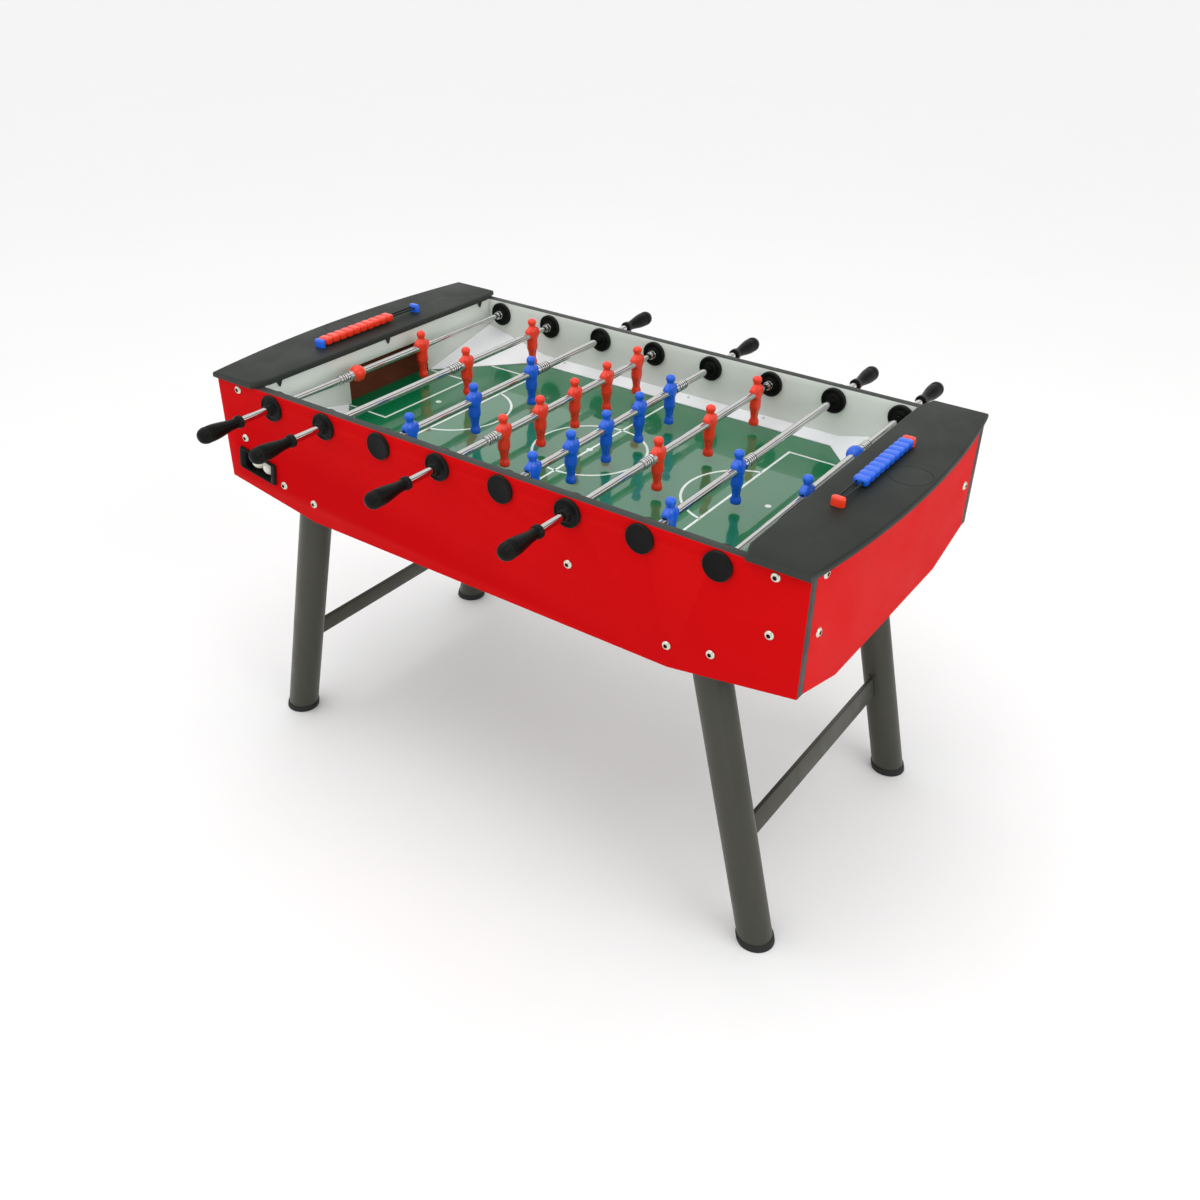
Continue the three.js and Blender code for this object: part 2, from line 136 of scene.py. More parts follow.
class Finish:
    """A principled material whose colour, roughness and relief come from noise in object space."""

    def __init__(self, name, colour, roughness, **sockets):
        self.material = bpy.data.materials.new(name)
        self.material.use_nodes = True
        self.tree = self.material.node_tree
        self.shader = self.tree.nodes["Principled BSDF"]
        self.coordinates = self.add("ShaderNodeTexCoord").outputs["Object"]
        self.colour = colour
        self.relief = None
        self.shader.inputs["Base Color"].default_value = colour
        self.shader.inputs["Roughness"].default_value = roughness
        for socket, value in sockets.items():
            self.shader.inputs[socket.replace("_", " ")].default_value = value
        self.material.diffuse_color = colour

    def add(self, kind, **settings):
        return add_node(self.tree, kind, **settings)

    def link(self, source, target):
        self.tree.links.new(source, target)

    def noise(self, scale, stretch=(1, 1, 1), detail=3):
        """Noise from 0 to 1; scale is in features per metre."""
        mapping = self.add("ShaderNodeMapping")
        mapping.inputs["Scale"].default_value = stretch
        self.link(self.coordinates, mapping.inputs["Vector"])
        texture = self.add("ShaderNodeTexNoise")
        texture.inputs["Scale"].default_value = scale
        texture.inputs["Detail"].default_value = detail
        self.link(mapping.outputs["Vector"], texture.inputs["Vector"])
        return texture.outputs["Fac"]

    def cells(self, scale, feature="F1"):
        """Distance to the nearest cell point; scale is in cells per metre."""
        texture = self.add("ShaderNodeTexVoronoi", feature=feature)
        texture.inputs["Scale"].default_value = scale
        self.link(self.coordinates, texture.inputs["Vector"])
        return texture.outputs["Distance"]

    def ranged(self, source, low, high, start=0.3, end=0.7):
        """Maps source from start..end to low..high."""
        return map_range(self.tree, source, (start, end, low, high))

    def blend(self, mask, other):
        """Mixes the base colour so far with another, where the mask is 1."""
        mix = self.add("ShaderNodeMix", data_type="RGBA")
        target = self.shader.inputs["Base Color"]
        self.link(mask, mix.inputs["Factor"])
        if target.is_linked:
            self.link(target.links[0].from_socket, mix.inputs["A"])
        else:
            mix.inputs["A"].default_value = self.colour
        mix.inputs["B"].default_value = other
        self.link(mix.outputs["Result"], target)
        return self

    def mottle(self, scale, amount, stretch=(1, 1, 1)):
        """Uneven colour: amount is the share of lightness that comes and goes."""
        self.blend(self.ranged(self.noise(scale, stretch), 0, 1), shade(self.colour, 1 - amount))
        fine = self.ranged(self.noise(scale * 3.1, stretch), 0, 0.5)
        return self.blend(fine, shade(self.colour, 1 + amount))

    def uneven_gloss(self, scale, low, high, stretch=(1, 1, 1)):
        rough = self.ranged(self.noise(scale, stretch), low, high)
        self.link(rough, self.shader.inputs["Roughness"])
        return self

    def bump(self, height, depth, strength=1.0):
        """Relief from a 0-1 height, depth in metres."""
        node = self.add("ShaderNodeBump")
        node.inputs["Strength"].default_value = strength
        node.inputs["Distance"].default_value = depth
        self.link(height, node.inputs["Height"])
        if self.relief:
            self.link(self.relief, node.inputs["Normal"])
        self.relief = node.outputs["Normal"]
        self.link(self.relief, self.shader.inputs["Normal"])
        return self

    def grain(self, scale, depth, stretch=(1, 1, 1)):
        return self.bump(self.noise(scale, stretch, detail=5), depth)

    def edge_wear_and_highlight(self, other, start=0.52, end=0.60):
        """Another colour at convex edges: the lighter tone given there is painted edge highlight along
        with wear; on a coarse mesh it also tints the flat faces between them.
        """
        pointy = self.add("ShaderNodeNewGeometry").outputs["Pointiness"]
        return self.blend(self.ranged(pointy, 0, 0.6, start, end), other)


def red_laminate():
    finish = Finish("red_laminate", srgb(194, 2, 8), 0.42, Specular_IOR_Level=0.012)
    finish.mottle(5, 0.05).uneven_gloss(9, 0.36, 0.48)
    # Lighter red on convex edges: painted edge highlight along with wear.
    return finish.grain(900, 0.05 * MM).edge_wear_and_highlight(srgb(216, 26, 26))


def edge_banding():
    finish = Finish("edge_banding", srgb(58, 61, 58), 0.5, Specular_IOR_Level=0.15)
    return finish.mottle(14, 0.10).uneven_gloss(20, 0.42, 0.6).grain(1200, 0.04 * MM)


def white_laminate():
    finish = Finish("white_laminate", srgb(218, 224, 217), 0.42)
    finish.mottle(6, 0.04).uneven_gloss(12, 0.34, 0.5)
    return finish.grain(700, 0.04 * MM)


def raw_board():
    finish = Finish("raw_board", srgb(92, 50, 30), 0.9, Specular_IOR_Level=0.1)
    finish.mottle(60, 0.25, (1, 0.25, 1))
    finish.blend(finish.ranged(finish.cells(220), 0.5, 0, 0.0, 0.35), srgb(60, 34, 20))
    return finish.grain(500, 0.3 * MM)


# The field lies under a clear, mirror-like film.
GLASSY = {"Specular_IOR_Level": 0.2, "Coat_Weight": 1.0, "Coat_Roughness": 0.02, "Coat_IOR": 1.55}


def printed_green():
    finish = Finish("printed_green", srgb(0, 108, 64), 0.3, **GLASSY)
    finish.mottle(16, 0.06)
    return finish.blend(finish.ranged(finish.cells(900), 0.25, 0, 0.0, 0.4), srgb(10, 124, 78))


def printed_white():
    finish = Finish("printed_white", srgb(222, 234, 226), 0.3, **GLASSY)
    return finish.mottle(70, 0.04)


def ramp_plastic():
    finish = Finish("ramp_plastic", srgb(236, 238, 240), 0.34)
    return finish.mottle(8, 0.03).uneven_gloss(15, 0.28, 0.42).grain(800, 0.03 * MM)


def black_plastic():
    finish = Finish("black_plastic", srgb(9, 11, 9), 0.34, Specular_IOR_Level=0.10)
    finish.mottle(50, 0.25).uneven_gloss(60, 0.30, 0.46)
    # Lighter grey on convex edges: painted edge highlight along with wear.
    return finish.grain(1500, 0.05 * MM).edge_wear_and_highlight(srgb(42, 46, 42))


def cap_plastic():
    finish = Finish("cap_plastic", srgb(31, 35, 31), 0.5, Specular_IOR_Level=0.18)
    finish.mottle(12, 0.08).uneven_gloss(7, 0.44, 0.60)
    finish.bump(finish.cells(1100, "SMOOTH_F1"), 0.12 * MM, 0.8)
    # Lighter grey on convex edges: painted edge highlight along with wear.
    return finish.edge_wear_and_highlight(srgb(60, 64, 60))


def chrome(name="chrome", tone=198, roughness=0.1):
    finish = Finish(name, srgb(tone, tone, tone - 2), roughness, Metallic=1.0)
    finish.mottle(40, 0.10).uneven_gloss(30, roughness * 0.7, roughness * 1.5, (1, 0.12, 1))
    return finish.grain(2200, 0.01 * MM, (1, 0.05, 1))


def moulded(name, colour):
    finish = Finish(name, colour, 0.34, Specular_IOR_Level=0.35,
                    Coat_Weight=0.35, Coat_Roughness=0.12, Subsurface_Weight=0.08)
    finish.shader.inputs["Subsurface Radius"].default_value = colour[:3]
    finish.shader.inputs["Subsurface Scale"].default_value = 3 * MM
    finish.mottle(70, 0.07).uneven_gloss(80, 0.26, 0.44)
    # A lighter tone on convex edges: painted edge highlight along with wear.
    return finish.grain(900, 0.06 * MM).edge_wear_and_highlight(shade(colour, 1.35))


def leg_paint():
    finish = Finish("leg_paint", srgb(62, 62, 54), 0.34, Metallic=0.2, Specular_IOR_Level=0.35)
    finish.mottle(9, 0.14, (1, 1, 0.15)).uneven_gloss(25, 0.28, 0.46, (1, 1, 0.3))
    return finish.grain(1400, 0.05 * MM)


# Real rubber for the leg shoes; the bolt sockets also use it as painted shade.
def rubber():
    finish = Finish("rubber", srgb(17, 17, 16), 0.7)
    return finish.mottle(40, 0.3).grain(900, 0.08 * MM)


def zinc():
    finish = Finish("zinc", srgb(214, 216, 200), 0.28, Metallic=1.0)
    return finish.mottle(90, 0.12).uneven_gloss(120, 0.2, 0.4).grain(2500, 0.01 * MM)


def ball_plastic():
    finish = Finish("ball_plastic", srgb(226, 222, 210), 0.5)
    return finish.mottle(60, 0.08).grain(700, 0.05 * MM)


def floor_paint():
    finish = Finish("floor_paint", srgb(250, 250, 250), 0.7, Specular_IOR_Level=0.2)
    return finish.mottle(1.5, 0.008)


MAKERS = (
    red_laminate, edge_banding, white_laminate, raw_board, printed_green, printed_white, ramp_plastic,
    black_plastic, cap_plastic, chrome, leg_paint, rubber, zinc, ball_plastic, floor_paint,
)
MATERIALS = {maker.__name__: maker() for maker in MAKERS}
MATERIALS["spring_steel"] = chrome("spring_steel", 206, 0.2)
MATERIALS["red_plastic"] = moulded("red_plastic", srgb(238, 52, 18))
MATERIALS["blue_plastic"] = moulded("blue_plastic", srgb(6, 92, 216))


# ---- mesh helpers ----
def new_object(name, data):
    """An object in the scene round a mesh, a light or a camera."""
    made = bpy.data.objects.new(name, data)
    bpy.context.scene.collection.objects.link(made)
    return made


def at(x, y, z):
    return Matrix.Translation((x, y, z))


def xy(u, v, w):
    return Vector((u, v, w))


def xz(u, v, w):
    return Vector((u, w, v))


def yz(u, v, w):
    return Vector((w, u, v))


def prism(points, low, high, place, into=None):
    """An outline of (u, v) points swept from low to high; place says which axes u, v and the sweep are."""
    bm = into or bmesh.new()
    rings = [[bm.verts.new(place(u, v, w)) for u, v in points] for w in (low, high)]
    count = len(points)
    faces = [bm.faces.new(rings[0]), bm.faces.new(rings[1])]
    for i in range(count):
        j = (i + 1) % count
        faces.append(bm.faces.new((rings[0][i], rings[0][j], rings[1][j], rings[1][i])))
    return bm


def rectangle(low_u, high_u, low_v, high_v):
    return [(low_u, low_v), (high_u, low_v), (high_u, high_v), (low_u, high_v)]


def arc(centre_u, centre_v, radius, start, end, steps=8):
    """Points along an arc, angles in degrees."""
    angles = [math.radians(start + (end - start) * i / steps) for i in range(steps + 1)]
    return [(centre_u + radius * math.cos(a), centre_v + radius * math.sin(a)) for a in angles]


def round_angles(count):
    return [2 * math.pi * i / count for i in range(count)]


def rounded_rectangle(half_u, half_v, radius, steps=5):
    corners = ((1, 1, 0), (-1, 1, 90), (-1, -1, 180), (1, -1, 270))
    points = []
    for side_u, side_v, start in corners:
        centre = (side_u * (half_u - radius), side_v * (half_v - radius))
        points += arc(*centre, radius, start, start + 90, steps)
    return points


def swept_rings(rings, closed=False):
    """A skin over rings of points; the ends are capped unless the rings close on themselves."""
    bm = bmesh.new()
    loops = [[bm.verts.new(point) for point in ring] for ring in rings]
    pairs = list(zip(loops, loops[1:]))
    if closed:
        pairs.append((loops[-1], loops[0]))
    for first, second in pairs:
        size = max(len(first), len(second))
        for i in range(size):
            j = (i + 1) % size
            corners = [
                first[i % len(first)],
                first[j % len(first)],
                second[j % len(second)],
                second[i % len(second)],
            ]
            corners = list(dict.fromkeys(corners))
            if len(corners) > 2:
                bm.faces.new(corners)
    if not closed:
        for loop in (loops[0], loops[-1]):
            if len(loop) > 2:
                bm.faces.new(loop)
    return bm


def lathe(profile, segments=40, closed=False, ribs=0, rib_depth=0.0):
    """A body turned about the Y axis; the profile is (radius, y), and radius 0 makes a point."""
    rings = []
    for radius, y in profile:
        if radius == 0:
            rings.append([Vector((0, y, 0))])
            continue
        ring = []
        for angle in round_angles(segments):
            r = radius + (rib_depth * math.cos(ribs * angle) if ribs else 0)
            ring.append(Vector((r * math.cos(angle), y, r * math.sin(angle))))
        rings.append(ring)
    return swept_rings(rings, closed)


def merge(*parts):
    """One mesh out of several bodies."""
    whole = bmesh.new()
    for part in parts:
        mesh = bpy.data.meshes.new("part")
        part.to_mesh(mesh)
        part.free()
        whole.from_mesh(mesh)
        bpy.data.meshes.remove(mesh)
    return whole


def moved(bm, matrix):
    bm.transform(matrix)
    return bm


def softened(bm, width, steps=2, sharpest=30):
    """Rounds every edge that is sharper than an angle in degrees."""
    bmesh.ops.recalc_face_normals(bm, faces=bm.faces)
    edges = [e for e in bm.edges if e.is_manifold and e.calc_face_angle(0) > math.radians(sharpest)]
    bmesh.ops.bevel(bm, geom=edges, offset=width, segments=steps, profile=0.5, affect="EDGES")
    return bm


def to_mesh(name, bm, materials, smooth=35, by_face=None):
    """A mesh with its materials; by_face gives each face its material's name from centre and normal."""
    bmesh.ops.recalc_face_normals(bm, faces=bm.faces)
    mesh = bpy.data.meshes.new(name)
    for material in materials:
        mesh.materials.append(MATERIALS[material].material)
    if by_face:
        for face in bm.faces:
            face.material_index = materials.index(by_face(face.calc_center_median(), face.normal))
    bm.to_mesh(mesh)
    bm.free()
    mesh.shade_smooth()
    mesh.set_sharp_from_angle(angle=math.radians(smooth))
    return mesh


def evaluated(mesh, add_modifiers):
    """The mesh after modifiers."""
    helper = new_object("helper", mesh)
    extra = add_modifiers(helper) or []
    bpy.context.view_layer.update()
    graph = bpy.context.evaluated_depsgraph_get()
    result = bpy.data.meshes.new_from_object(helper.evaluated_get(graph))
    result.name = mesh.name
    for used in [helper, *extra]:
        bpy.data.objects.remove(used)
    return result


def carved(mesh, cutter_bm, smooth=35):
    """The mesh with the cutter's bodies taken out."""
    bmesh.ops.recalc_face_normals(cutter_bm, faces=cutter_bm.faces)
    cutter_mesh = bpy.data.meshes.new("cutter")
    cutter_bm.to_mesh(cutter_mesh)
    cutter_bm.free()

    def add(helper):
        cutter = new_object("cutter", cutter_mesh)
        modifier = helper.modifiers.new("cut", "BOOLEAN")
        modifier.object = cutter
        modifier.solver = "EXACT"
        return [cutter]

    result = evaluated(mesh, add)
    result.set_sharp_from_angle(angle=math.radians(smooth))
    return result


def subdivided(mesh, levels):
    def add(helper):
        modifier = helper.modifiers.new("smooth", "SUBSURF")
        modifier.levels = levels
        modifier.render_levels = levels

    return evaluated(mesh, add)


def piece(name, mesh, body, matrix=None, replaces=()):
    """Places a mesh on a body of the frame."""
    made = new_object(name, mesh)
    made.matrix_world = matrix or Matrix.Identity(4)
    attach(made, body)
    if replaces:
        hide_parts(*replaces)
    return made


# ---- cabinet ----
def outlet_matrix():
    """Where the outlet's own axes lie: its middle, level with the panel's slanted lower edge."""
    centre = (OUTLET_LOW + OUTLET_HIGH) / 2
    tilt = math.atan2(CORNER_BOTTOM - BOTTOM, HALF_LENGTH - SLANT_X)
    return at(centre.x, -OUTER_Y, centre.z) @ Matrix.Rotation(tilt, 4, "Y")


def panel_face(centre, normal):
    """Red outside, white inside and grey banding on the edges, for a panel whose outside is -Y."""
    if normal.y < -0.9:
        return "red_laminate"
    return "white_laminate" if normal.y > 0.9 else "edge_banding"


def panel_outline(edge, slant):
    """A panel seen from outside, square at the top and with its lower corners cut off."""
    right = [(slant, BOTTOM), (edge, CORNER_BOTTOM), (edge, TOP)]
    return [(-u, v) for u, v in right[::-1]] + right


def side_panel():
    board = softened(prism(panel_outline(HALF_LENGTH, SLANT_X), -OUTER_Y, -INNER_Y, xz), BOARD_EDGE)
    names = ["edge_banding", "red_laminate", "white_laminate"]
    return to_mesh("side_panel", board, names, by_face=panel_face)


def rod_x(k):
    return JOINTS[f"rod_{k}_spin"]["pos_m"][0]


def bearing_holes():
    past = 10 * MM
    low, high = -OUTER_Y - past, -INNER_Y + past
    profile = [(0, low), (HOLE_RADIUS, low), (HOLE_RADIUS, high), (0, high)]
    places = [at(rod_x(k), 0, ROD_Z) for k in RODS]
    return merge(*[moved(lathe(profile, 24), place) for place in places])


def build_side_panels():
    play = 0.6 * MM
    half_width = BARREL_HALF_WIDTH + play
    half_height = BARREL_HALF_HEIGHT + play
    cutout = prism(rectangle(-half_width, half_width, -half_height, half_height), -0.02, 0.06, xz)
    front = carved(side_panel(), merge(bearing_holes(), moved(cutout, outlet_matrix())))
    piece("front_side_panel", front, "cabinet", replaces=["side_panel_front"])
    back = carved(side_panel(), bearing_holes())
    piece("back_side_panel", back, "cabinet", HALF_TURN, ["side_panel_back"])


def end_panel_face(centre, normal):
    if normal.x > 0.9:
        return "red_laminate"
    return "raw_board" if normal.x < -0.9 else "edge_banding"


def build_end_panels():
    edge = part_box("end_panel_right")[1].y
    board = softened(prism(panel_outline(edge, SLANT_Y), END_INNER, HALF_LENGTH, yz), BOARD_EDGE / 2, 1)
    names = ["edge_banding", "red_laminate", "raw_board"]
    mesh = to_mesh("end_panel", board, names, by_face=end_panel_face)
    piece("right_end_panel", mesh, "cabinet", replaces=["end_panel_right"])
    piece("left_end_panel", mesh, "cabinet", HALF_TURN, ["end_panel_left"])


def goal_wall_face(centre, normal):
    if abs(normal.x) > 0.9:
        return "white_laminate" if normal.x < 0 else "raw_board"
    return "raw_board" if centre.z < GOAL_TOP + MM and abs(centre.y) < GOAL_HALF + MM else "edge_banding"


def build_goal_walls():
    edge = WALL_HIGH.y
    base = WALL_LOW.z
    centre_y = GOAL_HALF - GOAL_CORNER
    centre_z = GOAL_TOP - GOAL_CORNER
    outline = [(-edge, base), (-GOAL_HALF, base)]
    outline += arc(-centre_y, centre_z, GOAL_CORNER, 180, 90)
    outline += arc(centre_y, centre_z, GOAL_CORNER, 90, 0)
    outline += [(GOAL_HALF, base), (edge, base), (edge, TOP), (-edge, TOP)]
    board = softened(prism(outline, WALL_LOW.x, WALL_HIGH.x, yz), BOARD_EDGE)
    names = ["white_laminate", "raw_board", "edge_banding"]
    mesh = to_mesh("goal_wall", board, names, by_face=goal_wall_face)
    piece("right_goal_wall", mesh, "cabinet", replaces=["goal_wall_right"])
    piece("left_goal_wall", mesh, "cabinet", HALF_TURN, ["goal_wall_left"])


def build_playfield():
    outline = rectangle(FIELD_LOW.x, FIELD_HIGH.x, FIELD_LOW.y, FIELD_HIGH.y)
    board = softened(prism(outline, FIELD_LOW.z, FIELD_TOP, xy), 0.5 * MM, 1)

    def top_or_side(centre, normal):
        return "printed_green" if normal.z > 0.5 else "raw_board"

    mesh = to_mesh("playfield", board, ["printed_green", "raw_board"], by_face=top_or_side)
    piece("playing_field", mesh, "cabinet", replaces=["playfield"])


def ribbon(points, closed=False):
    """A printed line along a path on the field, a hair's breadth thick."""
    count = len(points)
    rails = ([], [])
    for i, (x, y) in enumerate(points):
        before = Vector(points[i - 1] if closed or i > 0 else points[i])
        after = Vector(points[(i + 1) % count] if closed or i < count - 1 else points[i])
        here = Vector((x, y))
        first = (here - before).normalized() if here != before else (after - here).normalized()
        second = (after - here).normalized() if here != after else first
        normal = Vector((-(first + second).y, (first + second).x)).normalized()
        stretch = 1 / max(0.5, normal.dot(Vector((-first.y, first.x))))
        for rail, side in zip(rails, (-1, 1)):
            rail.append(here + normal * (side * stretch * LINE_WIDTH / 2))
    levels = (FIELD_TOP, FIELD_TOP + 0.15 * MM)
    rings = [
        [Vector((*rails[side][i], levels[level])) for side, level in ((0, 0), (1, 0), (1, 1), (0, 1))]
        for i in range(count)
    ]
    return swept_rings(rings, closed)


def spot(x, radius):
    return prism(arc(x, 0, radius, 0, 345, 23), FIELD_TOP, FIELD_TOP + 0.25 * MM, xy)


def half_markings():
    """Penalty box, goal box, arc and spot of the right half."""
    box_x, box_y, ramp_x = 340 * MM, 241 * MM, 466.5 * MM
    goal_x, goal_y, wall_x = 454 * MM, 135 * MM, 563.5 * MM
    arc_x, arc_radius = 370 * MM, 125 * MM
    narrowed = goal_y - 2 * MM
    reach = math.degrees(math.acos((box_x - arc_x) / arc_radius))
    return [
        ribbon([(ramp_x, -box_y), (box_x, -box_y), (box_x, box_y), (ramp_x, box_y)]),
        ribbon([(wall_x, -narrowed), (goal_x, -goal_y), (goal_x, goal_y), (wall_x, narrowed)]),
        ribbon(arc(arc_x, 0, arc_radius, reach, 360 - reach, 28)),
        spot(420 * MM, 6.5 * MM),
    ]


def build_markings():
    half_way = STRIP_Y - MM
    circle_radius = 120.6 * MM
    lines = [
        ribbon([(0, -half_way), (0, half_way)]),
        ribbon(arc(0, 0, circle_radius, 0, 354, 59), closed=True),
        spot(0, 7 * MM),
        *half_markings(),
        *[moved(line, HALF_TURN) for line in half_markings()],
    ]
    mesh = to_mesh("field_markings", merge(*lines), ["printed_white"])
    piece("field_markings", mesh, "cabinet")


def build_ramps():
    for side in ("front", "back"):
        node = frame["nodes"][f"side_ramp_{side}"]
        node.data.materials.clear()
        node.data.materials.append(MATERIALS["ramp_plastic"].material)


def screw_head(radius, rise):
    """A small low screw head that faces +Z."""
    profile = [(0, rise), (radius * 0.8, rise), (radius, rise * 0.3), (radius, -MM), (0, -MM)]
    return moved(lathe(profile, 20), Matrix.Rotation(math.pi / 2, 4, "X"))


def build_ramp_screws():
    slope = math.atan2(STRIP_RISE, INNER_Y - STRIP_Y)
    y = 347 * MM
    z = FIELD_TOP + 1.8 * MM + (y - STRIP_Y) * math.tan(slope)
    heads = []
    for x in (-324, -120, 27, 220):
        place = at(x * MM, y, z) @ Matrix.Rotation(slope, 4, "X")
        heads.append(moved(screw_head(3 * MM, 0.4 * MM), place))
    mesh = to_mesh("ramp_screws", merge(*heads), ["zinc"])
    piece("ramp_screws_back", mesh, "cabinet")
    piece("ramp_screws_front", mesh, "cabinet", HALF_TURN)


def domed_bolt():
    """A low domed head with a hexagonal socket, facing -Y."""
    def ring(radius, y, hexagon=False):
        points = []
        for angle in round_angles(30):
            r = radius
            if hexagon:
                r = radius / math.cos((angle % (math.pi / 3)) - math.pi / 6)
            points.append(Vector((r * math.cos(angle), y, r * math.sin(angle))))
        return points

    radius, rise, socket = 9 * MM, 4.2 * MM, 3.8 * MM
    dome = [ring(radius * math.cos(a), -rise * math.sin(a)) for a in (0, 0.35, 0.7, 1.0)]
    rings = [
        [Vector((0, 0.5 * MM, 0))],
        ring(radius, 0.5 * MM),
        *dome,
        ring(socket * 1.35, -rise * 0.93),
        ring(socket, -rise * 0.9, True),
        ring(socket * 0.96, -0.6 * MM, True),
        [Vector((0, -0.3 * MM, 0))],
    ]

    # The socket's faces take the near-black rubber material: painted shade in the recess of the zinc head.
    def socket_or_head(centre, normal):
        in_socket = math.hypot(centre.x, centre.z) < 1.2 * socket and centre.y > -0.9 * rise
        return "rubber" if in_socket else "zinc"

    return to_mesh("bolt", swept_rings(rings), ["zinc", "rubber"], smooth=40, by_face=socket_or_head)


# Bolts in the right half of a side panel, as (x, z) in millimetres, and in an end panel.
SIDE_BOLTS = ((627, 857), (627, 748), (523, 667), (436, 650), (224, 738))
END_BOLT_Y = 325 * MM
END_BOLT_HEIGHTS = (750 * MM, 860 * MM)


def build_bolts():
    bolt = domed_bolt()
    quarter = Matrix.Rotation(math.pi / 2, 4, "Z")
    number = 0
    for turn in (Matrix.Identity(4), HALF_TURN):
        places = [
            at(side * x * MM, -OUTER_Y, z * MM)
            for x, z in SIDE_BOLTS
            for side in (-1, 1)
        ]
        places += [
            at(HALF_LENGTH, y, z) @ quarter
            for y in (-END_BOLT_Y, END_BOLT_Y)
            for z in END_BOLT_HEIGHTS
        ]
        for place in places:
            number += 1
            piece(f"bolt_{number:02d}", bolt, "cabinet", turn @ place)


def ball_body(radius):
    angles = [math.pi * i / 18 for i in range(1, 18)]
    middle = [(radius * math.sin(a), -radius * math.cos(a)) for a in angles]
    return lathe([(0, -radius), *middle, (0, radius)], 36)


def build_outlet():
    """A sloping frame round a dark box, with balls waiting at its lower end."""
    stand = -(OUTER_Y + OUTLET_LOW.y)
    depth = OUTLET_HIGH.y + OUTER_Y
    half_width, half_height = 54 * MM, 25 * MM
    window = (38 * MM, 18.5 * MM)
    layers = [
        (BARREL_HALF_WIDTH, BARREL_HALF_HEIGHT, 3 * MM, depth),
        (BARREL_HALF_WIDTH, BARREL_HALF_HEIGHT, 3 * MM, -CLEARANCE),
        (half_width, half_height, 4 * MM, -CLEARANCE), (half_width, half_height, 4 * MM, -stand * 0.55),
        (half_width - 1.2 * MM, half_height - 1.2 * MM, 4 * MM, -stand * 0.95),
        (half_width - 3 * MM, half_height - 2.6 * MM, 4 * MM, -stand),
        (window[0] + 6 * MM, window[1] + 3 * MM, 4 * MM, -stand),
        (window[0] + 1.5 * MM, window[1] + 1 * MM, 4 * MM, -stand * 0.35), (*window, 3 * MM, 2 * MM),
        (*window, 3 * MM, depth - 3 * MM),
    ]
    rings = [
        [Vector((u, y, v)) for u, v in rounded_rectangle(half_u, half_v, radius)]
        for half_u, half_v, radius, y in layers
    ]
    mesh = to_mesh("outlet_frame", swept_rings(rings), ["black_plastic"], smooth=50)
    piece("outlet_frame", mesh, "cabinet", outlet_matrix(), ["ball_outlet"])
    ball_radius = 17 * MM
    for number, x in enumerate((20, -14.5), 1):
        centre = Vector((x * MM, ball_radius - stand * 0.2, ball_radius - window[1] + 0.3 * MM))
        ball = to_mesh("ball", ball_body(ball_radius), ["ball_plastic"])
        piece(f"ball_{number}", ball, "cabinet", outlet_matrix() @ at(*centre))


# ---- legs ----
LEG_ALONG = Vector((-LEAN, 0, 1)).normalized()
LEG_ACROSS = Vector((1, 0, LEAN)).normalized()


def leg_ring(radius, z, steps=48):
    """The level cut through a round leg that leans inward as it rises."""
    centre = FOOT + Vector((-LEAN * z, 0, z))
    wide = radius * math.sqrt(1 + LEAN ** 2)
    return [centre + Vector((wide * math.cos(a), radius * math.sin(a), 0)) for a in round_angles(steps)]


def leg_body(profile):
    return swept_rings([leg_ring(radius, z) for radius, z in profile])


def mounting_plate():
    """The plate that holds a leg to the inside of the side panel."""
    outline = rectangle(420 * MM, 540 * MM, 632 * MM, 688 * MM)
    back = INNER_Y - CLEARANCE
    return softened(prism(outline, back - 3 * MM, back, xz), 0.6 * MM)


def mirrored_mesh(mesh, matrix, name):
    """A reflected copy with its faces turned the right way out."""
    copy = mesh.copy()
    copy.name = name
    copy.transform(matrix)
    if matrix.determinant() < 0:
        copy.flip_normals()
    return copy


def build_legs():
    wall = 2 * MM
    shaft = [
        (LEG_RADIUS, FOOT_HEIGHT - MM), (LEG_RADIUS, LEG_TOP - 0.5 * MM),
        (LEG_RADIUS - 0.5 * MM, LEG_TOP), (LEG_RADIUS - wall, LEG_TOP),
        (LEG_RADIUS - wall, FOOT_HEIGHT + wall),
    ]
    shoe = [
        (SHOE_RADIUS - 2 * MM, 0), (SHOE_RADIUS - 0.3 * MM, 0.8 * MM), (SHOE_RADIUS, 2 * MM),
        (SHOE_RADIUS - 0.2 * MM, FOOT_HEIGHT - 1.6 * MM),
        (SHOE_RADIUS - 1.1 * MM, FOOT_HEIGHT - 0.2 * MM), (LEG_RADIUS + 0.2 * MM, FOOT_HEIGHT),
        (LEG_RADIUS + 0.1 * MM, FOOT_HEIGHT - 2 * MM),
    ]
    tube = to_mesh("leg", merge(leg_body(shaft), mounting_plate()), ["leg_paint"], smooth=40)
    cap = to_mesh("leg_shoe", leg_body(shoe), ["rubber"], smooth=40)
    for side_y, front_back in ((1, "back"), (-1, "front")):
        for side_x, left_right in ((1, "right"), (-1, "left")):
            corner = f"{front_back}_{left_right}"
            mirrored = Matrix.Diagonal((side_x, side_y, 1, 1))
            leg = mirrored_mesh(tube, mirrored, f"leg_{corner}")
            shoe_mesh = mirrored_mesh(cap, mirrored, f"shoe_{corner}")
            piece(f"leg_tube_{corner}", leg, "cabinet", replaces=[f"leg_{corner}"])
            piece(f"leg_shoe_{corner}", shoe_mesh, "cabinet")


def brace_place(centre):
    """u runs across the brace, v along its length and w up along the leg."""
    def place(u, v, w):
        return centre + LEG_ACROSS * u + Vector((0, v, 0)) + LEG_ALONG * w
    return place


def saddle_arc(radius, half_width, side, steps=8):
    """Points on a leg's wall facing the brace, from -half_width to half_width across."""
    points = []
    for i in range(steps + 1):
        u = half_width * (2 * i / steps - 1)
        points.append((u, side * (FOOT.y - math.sqrt(radius ** 2 - u ** 2))))
    return points


